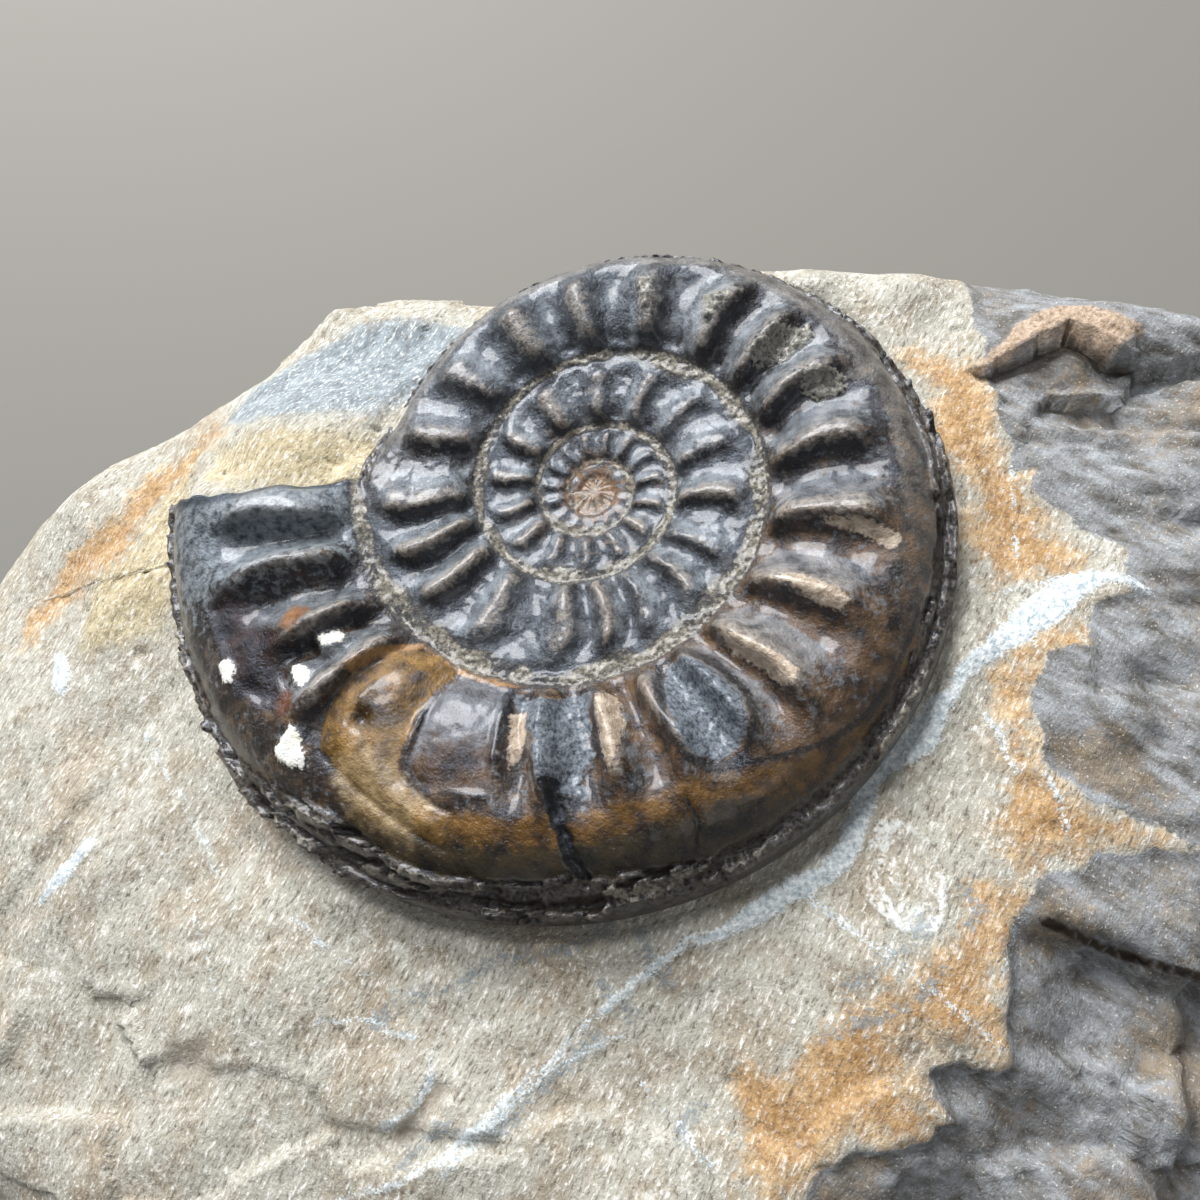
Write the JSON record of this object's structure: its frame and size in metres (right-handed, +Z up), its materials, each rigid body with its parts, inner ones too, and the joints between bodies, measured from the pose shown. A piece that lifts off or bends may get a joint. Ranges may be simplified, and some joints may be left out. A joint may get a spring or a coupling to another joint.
{
  "type": "amaltheus subnodosus ammonite",
  "caption": "Ribbed, keeled fossil ammonite, glossy dark brown, half bedded in its loose piece of weathered matrix stone.",
  "frame": {"origin": "middle of the small flat spot under the stone, which it rests on", "axes": "+Z up along the shell's axis, +X along the stone's long side, away from the shell's mouth"},
  "size_m": [0.0968, 0.0649, 0.0367],
  "materials": {
    "fossil_shell": "glossy",
    "matrix_stone": "matte"
  },
  "bodies": {
    "root": {"ammonite": "fossil_shell", "matrix_stone": "matrix_stone"}
  },
  "joints": []
}
